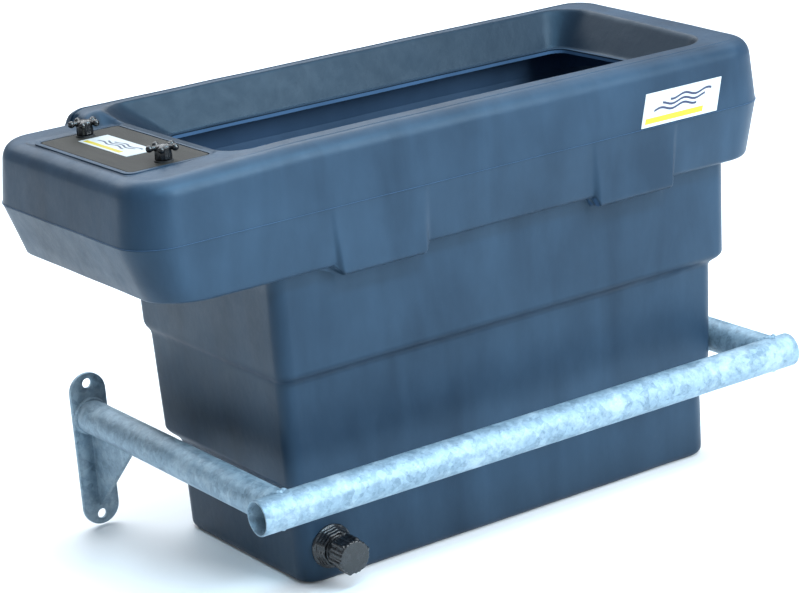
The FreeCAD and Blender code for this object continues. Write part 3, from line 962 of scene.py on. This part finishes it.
def makeFrontTube():
    shape = guardShape
    radius, start, end = tubeOf("guard_front_tube", 0)
    length = (end - start).length
    soft = shape["endRound"] * mm
    inner = radius - shape["wall"] * mm
    stations = list(np.linspace(soft, length - soft, shape["segments"]))
    profile = [(radius - soft, 0.0), (radius - soft * 0.3, soft * 0.3)]
    profile += [(radius, along) for along in stations]
    profile += [(radius - soft * 0.3, length - soft * 0.3), (radius - soft, length)]
    profile += [(inner + soft * 0.5, length), (inner, length - soft * 0.5)]
    profile += [(inner, along) for along in stations[::-8]]
    profile += [(inner, soft * 0.5), (inner + soft * 0.5, 0.0)]
    build = bmesh.new()
    addLathe(build, profile, start, (1, 0, 0), 128, True)
    for vertex in build.verts:
        wander = noise.noise(vertex.co * 9.0) * shape["unevenness"] * mm
        vertex.co += Vector((0, vertex.co.y - start.y, vertex.co.z - start.z)).normalized() * wander
    bmesh.ops.recalc_face_normals(build, faces=build.faces)
    mesh = meshFrom("guard_tube_front", build)
    addPiece("guard_tube_front", mesh, "zinc", "trough", ["guard_front_tube"], 50.0)


def makeWelds():
    shape = guardShape
    build = bmesh.new()
    tubeY = tubeOf("guard_front_tube", 0)[1].y
    for side in ("left", "right"):
        radius, start, end = tubeOf("guard_arm_" + side, 1)
        saddle, ring, saddleOut, ringOut, sizes = [], [], [], [], []
        for k in range(shape["beadPoints"]):
            turn = 2 * math.pi * k / shape["beadPoints"]
            across, up = math.cos(turn), math.sin(turn)
            lift = 0.3 * mm + radius
            saddleY = tubeY + lift * abs(across) + 0.6 * mm
            saddle.append(Vector((start.x + lift * across, saddleY, start.z + lift * up)))
            saddleOut.append(Vector((across, abs(across), up)))
            ring.append(Vector((end.x + lift * across, end.y - 0.8 * mm, end.z + lift * up)))
            ringOut.append(Vector((across, -1, up)))
            wander = noise.noise(Vector((across * 3, up * 3, start.x * 9))) * 0.6
            ripple = shape["ripple"] * math.sin(shape["ripples"] * turn)
            sizes.append((shape["bead"] + ripple + wander) * mm)
        addSweep(build, saddle, sizes, saddleOut)
        addSweep(build, ring, sizes, ringOut)
    bmesh.ops.recalc_face_normals(build, faces=build.faces)
    mesh = meshFrom("weld_beads", build)
    addPiece("weld_beads", mesh, "weld", "trough", ["guard_welds"], 80.0)


makeFrontTube()
makeWelds()
print("guard made")


# the wall plates, their edges rounded by the zinc
plateShape = {"edge": 1.3, "holeRadius": 9.0, "holeInset": 19.0}


def makeWallPlate(side):
    low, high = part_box("wall_plate_" + side)
    middle = (low + high) / 2
    half = (high.x - low.x) / 2
    edge = plateShape["edge"] * mm

    def outlineAt(y, inset):
        points = []
        for centre, first in ((high.z - half, 0), (low.z + half, 180)):
            for step in range(41):
                turn = math.radians(first + step * 4.5)
                reach = half - inset
                points.append((middle.x + reach * math.cos(turn), y, centre + reach * math.sin(turn)))
        return points

    build = bmesh.new()
    levels = ((low.y, edge), (low.y + edge * 0.3, edge * 0.3), (low.y + edge, 0.0))
    levels += ((high.y - edge, 0.0), (high.y - edge * 0.3, edge * 0.3), (high.y, edge))
    rings = [[build.verts.new(point) for point in outlineAt(y, inset)] for y, inset in levels]
    addWalls(build, rings)
    addEnds(build, rings)
    bmesh.ops.recalc_face_normals(build, faces=build.faces)
    mesh = meshFrom("plate", build)

    def holes(cutter):
        hole, inset = plateShape["holeRadius"] * mm, plateShape["holeInset"] * mm
        for z in (low.z + inset, high.z - inset):
            profile = [(hole + edge, -0.001), (hole + edge, 0.0), (hole, edge)]
            thick = high.y - low.y
            profile += [(hole, thick - edge), (hole + edge, thick), (hole + edge, thick + 0.001)]
            addLathe(cutter, profile, (middle.x, low.y, z), (0, 1, 0), 48)
        bmesh.ops.recalc_face_normals(cutter, faces=cutter.faces)

    cutter = holderOf("holes", holes)
    made = baked(mesh, lambda holder: boolean(holder, "DIFFERENCE", cutter))
    bpy.data.objects.remove(cutter)
    name = "bolt_plate_" + side
    made.name = name
    addPiece(name, made, "zinc", "trough", ["wall_plate_" + side], 50.0)


for side in ("left", "right"):
    makeWallPlate(side)
print("wall plates made")


# the drain: a round flange, a stepped gripping collar and a tube; its cap has ribs and lugs
drainShape = {
    "flange": 38.5,
    "collar": ((35.0, 0.0), (35.0, 4.6), (33.0, 5.8), (33.0, 11.0), (31.0, 12.2), (31.0, 17.6), (29.4, 19.0)),
    "grips": 10,
    "gripDepth": 0.9,
    "tube": 24.0,
    "bore": 20.0,
    "capRadius": 28.6,
    "capRibs": 24,
    "ribDepth": 0.6,
    "capHollow": 24.5,
    "capTop": 8.0,
    "lugs": 6,
    "lugRadius": 4.6,
    "lugTurn": 0.2,
    "voxel": 0.8,
}


def onDrain(y):
    low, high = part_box("drain_body")
    return Vector(((low.x + high.x) / 2, y, (low.z + high.z) / 2))


def makeDrain():
    shape = drainShape
    low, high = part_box("drain_body")
    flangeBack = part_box("drain_gasket")[0].y - openings["trayWall"]
    collarBack = flangeBack - 0.006
    flange, tube = shape["flange"] * mm, shape["tube"] * mm

    def fill(build):
        profile = [(flange, 0.0), (flange, 0.0044), (flange - 0.0014, 0.006), (flange - 0.010, 0.0064)]
        addLathe(build, profile, onDrain(flangeBack), (0, -1, 0), 96)
        profile = [(radius * mm, along * mm) for radius, along in shape["collar"]]
        grip = shape["gripDepth"] * mm
        addLathe(build, profile, onDrain(collarBack), (0, -1, 0), 160, False, shape["grips"], grip)
        addRod(build, tube, onDrain(low.y), onDrain(high.y), 72)

    def cut(build):
        addRod(build, shape["bore"] * mm, onDrain(low.y - 0.01), onDrain(high.y + 0.01), 72)

    made = meltedMesh("drain_fitting", fill, shape["voxel"] * mm, 4, cut)
    addPiece("drain_fitting", made, "drain", "trough", ["drain_body"], 60.0)
    low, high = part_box("drain_cap")
    length = high.y - low.y

    def fillCap(build):
        wide = shape["capRadius"] * mm
        profile = [(wide - 0.0024, 0.0), (wide - 0.0007, 0.0007), (wide, 0.0024), (wide, length)]
        rib = shape["ribDepth"] * mm
        addLathe(build, profile, onDrain(low.y), (0, 1, 0), 216, False, shape["capRibs"], rib)
        for lug in range(shape["lugs"]):
            angle = 2 * math.pi * lug / shape["lugs"] + shape["lugTurn"]
            shift = Vector((math.cos(angle), 0, math.sin(angle))) * (wide - 0.0006)
            wideLug = shape["lugRadius"] * mm
            profile = [(wideLug - 0.0016, 0.0), (wideLug, 0.0018), (wideLug, length - 0.003)]
            addLathe(build, profile, onDrain(low.y + 0.003) + shift, (0, 1, 0), 24)

    def cutCap(build):
        start = onDrain(low.y + shape["capTop"] * mm)
        addRod(build, shape["capHollow"] * mm, start, onDrain(high.y + 0.01), 72)

    made = meltedMesh("drain_plug", fillCap, shape["voxel"] * mm, 4, cutCap)
    addPiece("drain_plug", made, "drain", "drain_cap", ["drain_cap"], 60.0)


makeDrain()
print("drain made")


# the CAD's own pieces keep their shapes and get their finishes
nodeFinishes = {
    "lid_cover": "lid", "lid_label": "lidLabel", "front_label": "frontLabel",
    "knob_insert_back": "brass", "knob_insert_front": "brass",
    "knob_stud_back": "steel", "knob_stud_front": "steel",
    "knob_washer_back": "rubber", "knob_washer_front": "rubber",
    "guard_arm_left": "zinc", "guard_arm_right": "zinc",
    "gusset_left": "zinc", "gusset_right": "zinc", "drain_nut": "drain",
    "drain_gasket": "rubber", "drain_cap_seal": "rubber",
    "inlet_tail": "brass", "inlet_nuts": "brass", "inlet_washers": "rubber",
    "valve_body": "brass", "valve_piston": "brass", "valve_lever": "brass",
    "pivot_pin": "steel", "float_rod": "steel", "float_nut": "brass", "float_ball": "float",
}
for node, finish in nodeFinishes.items():
    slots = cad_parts[node].data.materials
    slots.clear()
    slots.append(finishes[finish])
print("CAD pieces finished:", len(nodeFinishes))


# a flat pale floor, a pale world and four area lights
studio = {
    "floor": (0.90, 0.91, 0.92),
    "floorReach": 30,
    "world": (0.86, 0.93, 1.00),
    "worldStrength": 0.42,
    "lights": (
        # name, place, aim, width, height, watts, colour
        ("top", (1.5, -0.4, 6.0), (0.4, 0.3, 0.0), 7.0, 7.0, 540.0, (0.80, 0.91, 1.0)),
        ("back", (0.6, 5.5, 5.0), (0.3, 4.0, 0.0), 8.0, 5.0, 480.0, (0.92, 0.96, 1.0)),
        ("key", (2.0, -4.4, 2.6), (0.1, 0.0, 0.5), 2.4, 2.4, 310.0, (0.86, 0.94, 1.0)),
        ("strip", (0.2, -2.4, 3.3), (0.0, -0.2, 0.8), 3.6, 0.5, 140.0, (0.50, 0.80, 1.0)),
    ),
}


def makeFloor():
    build = bmesh.new()
    bmesh.ops.create_grid(build, x_segments=2, y_segments=2, size=studio["floorReach"])
    mesh = meshFrom("floor", build)
    floor = bpy.data.objects.new("floor", mesh)
    scene.collection.objects.link(floor)
    s = Shade("floorPaint", Roughness=0.75, Specular_IOR_Level=0.3)
    fleck = s.noise(s.place(), 3.0, 4.0, 0.6)
    pale = studio["floor"]
    mesh.materials.append(s.use(Base_Color=s.blend(fleck, pale, tuple(0.985 * v for v in pale))))


def makeLights():
    world = bpy.data.worlds.new("studio")
    world.use_nodes = True
    sky = world.node_tree.nodes["Background"]
    sky.inputs["Color"].default_value = (*studio["world"], 1)
    sky.inputs["Strength"].default_value = studio["worldStrength"]
    scene.world = world
    for name, place, aim, width, height, watts, colour in studio["lights"]:
        light = bpy.data.lights.new(name, "AREA")
        light.shape = "RECTANGLE"
        light.size, light.size_y = width, height
        light.energy = watts
        light.color = colour
        lamp = bpy.data.objects.new(name, light)
        lamp.location = place
        lamp.rotation_euler = (Vector(aim) - Vector(place)).to_track_quat("-Z", "Y").to_euler()
        scene.collection.objects.link(lamp)


# the camera, in degrees, metres and millimetres of lens
viewpoint = {
    "azimuth": 33.0346,
    "elevation": 16.8662,
    "roll": -4.7993,
    "lens": 118.7165,
    "aim": (0.016115, 0.046435, 0.375451),
    "distance": 4.67495,
}


def makeCamera():
    turn, tilt, roll = (math.radians(viewpoint[key]) for key in ("azimuth", "elevation", "roll"))
    forward = Vector((math.sin(turn) * math.cos(tilt), math.cos(turn) * math.cos(tilt), -math.sin(tilt)))
    level = Vector((math.cos(turn), -math.sin(turn), 0))
    upright = level.cross(forward)
    right = level * math.cos(roll) + upright * math.sin(roll)
    up = upright * math.cos(roll) - level * math.sin(roll)
    lens = bpy.data.cameras.new("camera")
    lens.lens = viewpoint["lens"]
    lens.sensor_width = 36
    lens.clip_end = 100
    camera = bpy.data.objects.new("camera", lens)
    place = Vector(viewpoint["aim"]) - forward * viewpoint["distance"]
    axes = Matrix((right, up, -forward)).transposed().to_4x4()
    camera.matrix_world = Matrix.Translation(place) @ axes
    scene.collection.objects.link(camera)
    scene.camera = camera


makeFloor()
makeLights()
makeCamera()
scene.view_settings.view_transform = "Standard"
print("studio made")
